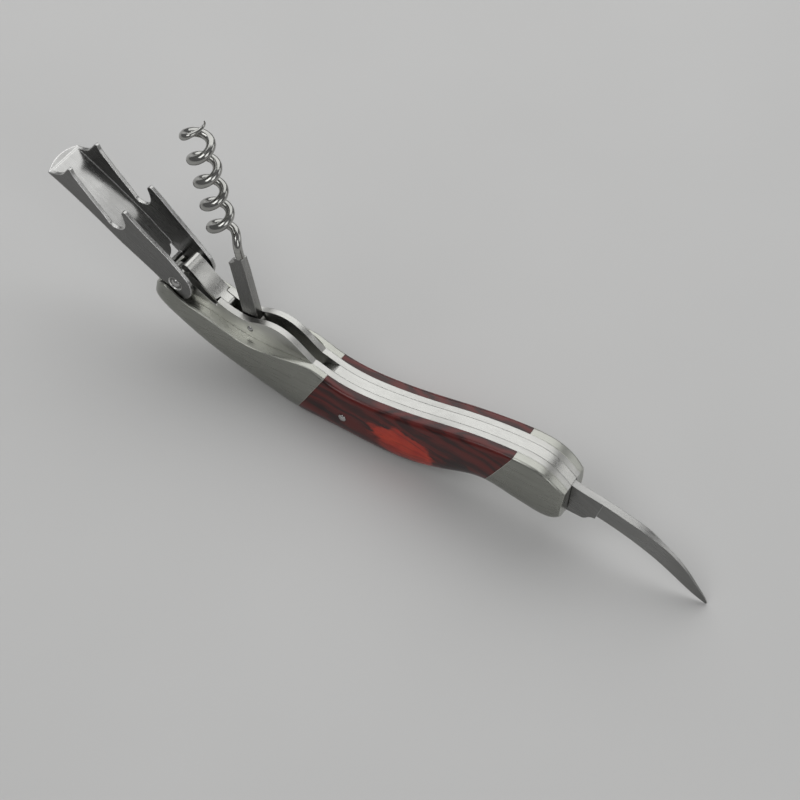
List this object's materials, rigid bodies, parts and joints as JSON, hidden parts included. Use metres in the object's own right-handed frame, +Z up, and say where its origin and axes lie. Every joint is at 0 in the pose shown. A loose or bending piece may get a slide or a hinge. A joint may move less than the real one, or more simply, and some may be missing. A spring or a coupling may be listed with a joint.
{
  "type": "waiters corkscrew",
  "caption": "Waiter's corkscrew with S-curved steel and red wood handle, hinged notched lever, folding helical worm and curved foil knife, all open",
  "frame": {"origin": "centre of the bottom face of the open tool's bounding box, on the surface that it stands on", "axes": "+X from the lever end to the knife end, +Y across the handle, +Z up; the handle, lever and knife mirror across Y = 0"},
  "size_m": [0.1929, 0.0146, 0.0803],
  "materials": {
    "bolster_steel": "satin ground stainless steel",
    "liner_steel": "brushed stainless steel sheet",
    "spring_steel": "brushed spring steel",
    "lever_steel": "fine brushed stainless sheet",
    "worm_steel": "polished steel wire",
    "blade_steel": "satin ground blade steel",
    "pin_steel": "turned steel",
    "washer_bronze": "phosphor bronze",
    "pakkawood": "polished red and black laminated wood"
  },
  "bodies": {
    "handle": {"head_bolster_near": "bolster_steel", "head_bolster_far": "bolster_steel", "tail_bolster_near": "bolster_steel", "tail_bolster_far": "bolster_steel", "wood_scale_near": "pakkawood", "wood_scale_far": "pakkawood", "liner_near": "liner_steel", "liner_far": "liner_steel", "back_spring": "spring_steel", "front_spacer": "spring_steel", "lever_spring_pin": "pin_steel", "lever_washers": "pin_steel", "worm_pin": "pin_steel", "knife_pin": "pin_steel", "knife_washers": "washer_bronze", "scale_pin": "pin_steel", "bolster_pins": "pin_steel", "frame_pins": "pin_steel"},
    "lever": {"lever": "lever_steel", "lever_pin": "pin_steel"},
    "worm": {"worm_helix": "worm_steel", "worm_shank": "worm_steel"},
    "knife": {"knife_blade": "blade_steel"},
    "leaf": {"lever_spring": "spring_steel"}
  },
  "joints": [
    {"name": "lever_fold", "type": "hinge", "parent": "handle", "child": "lever", "pos_m": [-0.0579, 0, 0.0245], "axis": [0, 1, 0], "range_deg": [0, 142]},
    {"name": "worm_fold", "type": "hinge", "parent": "handle", "child": "worm", "pos_m": [-0.0362, 0, 0.0188], "axis": [0, 1, 0], "range_deg": [0, 97]},
    {"name": "knife_fold", "type": "hinge", "parent": "handle", "child": "knife", "pos_m": [0.0495, 0, 0.0165], "axis": [0, 1, 0], "range_deg": [0, 153]},
    {"name": "leaf_press", "type": "hinge", "parent": "handle", "child": "leaf", "pos_m": [-0.0452, 0, 0.0206], "axis": [0, 1, 0], "range_deg": [-6.5, 0]}
  ],
  "couplings": [
    {"joint": "worm_fold", "follows": "lever_fold", "ratio": 0.67958},
    {"joint": "leaf_press", "follows": "lever_fold", "ratio": -0.04366}
  ]
}
